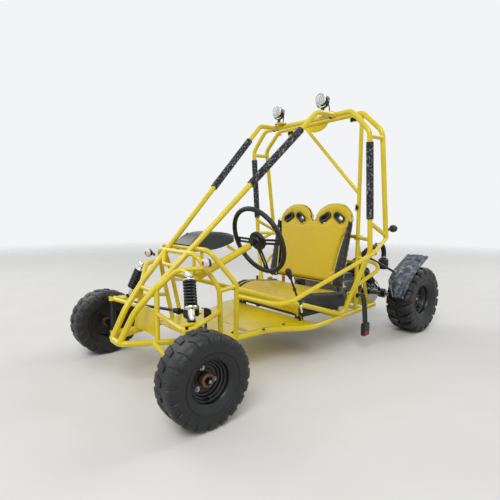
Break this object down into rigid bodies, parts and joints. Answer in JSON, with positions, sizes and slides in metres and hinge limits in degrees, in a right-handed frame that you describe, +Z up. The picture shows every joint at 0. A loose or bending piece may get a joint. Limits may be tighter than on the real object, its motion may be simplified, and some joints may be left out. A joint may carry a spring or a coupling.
{
  "type": "dune buggy",
  "caption": "Off-road buggy with a bent-tube roll cage, side-by-side bench seat, exposed suspension and knobbly tyres; wheels roll and the front pair steers.",
  "frame": {"origin": "on the ground, midway between the foremost and rearmost points of the tyres, on the centre line", "axes": "+Z up, -Y forward, +X to the driver's left"},
  "size_m": [1.074, 1.995, 1.362],
  "materials": {
    "yellow_paint": "gloss",
    "black_foam": "matt",
    "seat_vinyl": "satin",
    "black_plastic": "satin",
    "black_steel": "satin",
    "bare_steel": "satin",
    "spring_black": "satin",
    "engine_alloy": "cast",
    "lamp_chrome": "polished",
    "indicator_lens": "gloss",
    "tyre_rubber": "matt"
  },
  "bodies": {
    "chassis": {"lower_frame": "yellow_paint", "front_pillars": "yellow_paint", "main_hoop": "yellow_paint", "rear_hoop": "yellow_paint", "seat_posts": "yellow_paint", "rear_stays": "yellow_paint", "dash_hoop": "yellow_paint", "front_hoop": "yellow_paint", "shock_towers": "yellow_paint", "side_guard_left": "yellow_paint", "side_guard_right": "yellow_paint", "rear_guards": "yellow_paint", "foam_sleeves": "black_foam", "floor_pan": "yellow_paint", "seat_base": "yellow_paint", "seat_cushion": "seat_vinyl", "seat_back": "seat_vinyl", "dash_tray": "black_plastic", "upper_arms": "yellow_paint", "lower_arms": "yellow_paint", "front_shocks": "spring_black", "steering_column": "yellow_paint", "swing_arm": "black_steel", "rear_shocks": "spring_black", "engine_crankcase": "engine_alloy", "engine_cylinder": "engine_alloy", "intake_hose": "black_plastic", "silencer": "black_steel", "mudguards": "black_plastic", "roof_lamps": "lamp_chrome", "indicators": "indicator_lens", "tail_lamps": "black_plastic", "pedals": "black_steel", "gear_lever": "black_steel"},
    "steering": {"steering_wheel": "black_steel"},
    "knuckle_left": {"knuckle_left": "black_steel"},
    "knuckle_right": {"knuckle_right": "black_steel"},
    "tie_rod_left": {"tie_rod_left": "black_steel"},
    "tie_rod_right": {"tie_rod_right": "black_steel"},
    "front_wheel_left": {"rim_front_left": "black_steel", "tyre_front_left": "tyre_rubber"},
    "front_wheel_right": {"rim_front_right": "black_steel", "tyre_front_right": "tyre_rubber"},
    "rear_axle": {"rear_axle": "bare_steel", "rim_rear_left": "black_steel", "rim_rear_right": "black_steel", "tyre_rear_left": "tyre_rubber", "tyre_rear_right": "tyre_rubber"}
  },
  "joints": [
    {"name": "steering", "type": "hinge", "parent": "chassis", "child": "steering", "pos_m": [0.15, -0.3055, 0.6], "axis": [0, 0.9239, 0.3827], "range_deg": [-30, 30]},
    {"name": "kingpin_left", "type": "hinge", "parent": "chassis", "child": "knuckle_left", "pos_m": [0.362, -0.8325, 0.165], "axis": [0, 0, 1], "range_deg": [-30, 30]},
    {"name": "kingpin_right", "type": "hinge", "parent": "chassis", "child": "knuckle_right", "pos_m": [-0.362, -0.8325, 0.165], "axis": [0, 0, 1], "range_deg": [-30, 30]},
    {"name": "tie_rod_left_eye", "type": "hinge", "parent": "knuckle_left", "child": "tie_rod_left", "pos_m": [0.34, -0.7275, 0.2615], "axis": [0, 0, 1], "range_deg": [-30, 30]},
    {"name": "tie_rod_right_eye", "type": "hinge", "parent": "knuckle_right", "child": "tie_rod_right", "pos_m": [-0.34, -0.7275, 0.2615], "axis": [0, 0, 1], "range_deg": [-30, 30]},
    {"name": "front_wheel_left_spin", "type": "hinge", "parent": "knuckle_left", "child": "front_wheel_left", "pos_m": [0.471, -0.8325, 0.165], "axis": [1, 0, 0], "continuous": true},
    {"name": "front_wheel_right_spin", "type": "hinge", "parent": "knuckle_right", "child": "front_wheel_right", "pos_m": [-0.471, -0.8325, 0.165], "axis": [1, 0, 0], "continuous": true},
    {"name": "rear_axle_spin", "type": "hinge", "parent": "chassis", "child": "rear_axle", "pos_m": [0, 0.7945, 0.203], "axis": [1, 0, 0], "continuous": true}
  ],
  "couplings": [
    {"joint": "kingpin_left", "follows": "steering", "ratio": 1},
    {"joint": "kingpin_right", "follows": "steering", "ratio": 1},
    {"joint": "tie_rod_left_eye", "follows": "steering", "ratio": -1},
    {"joint": "tie_rod_right_eye", "follows": "steering", "ratio": -1}
  ]
}
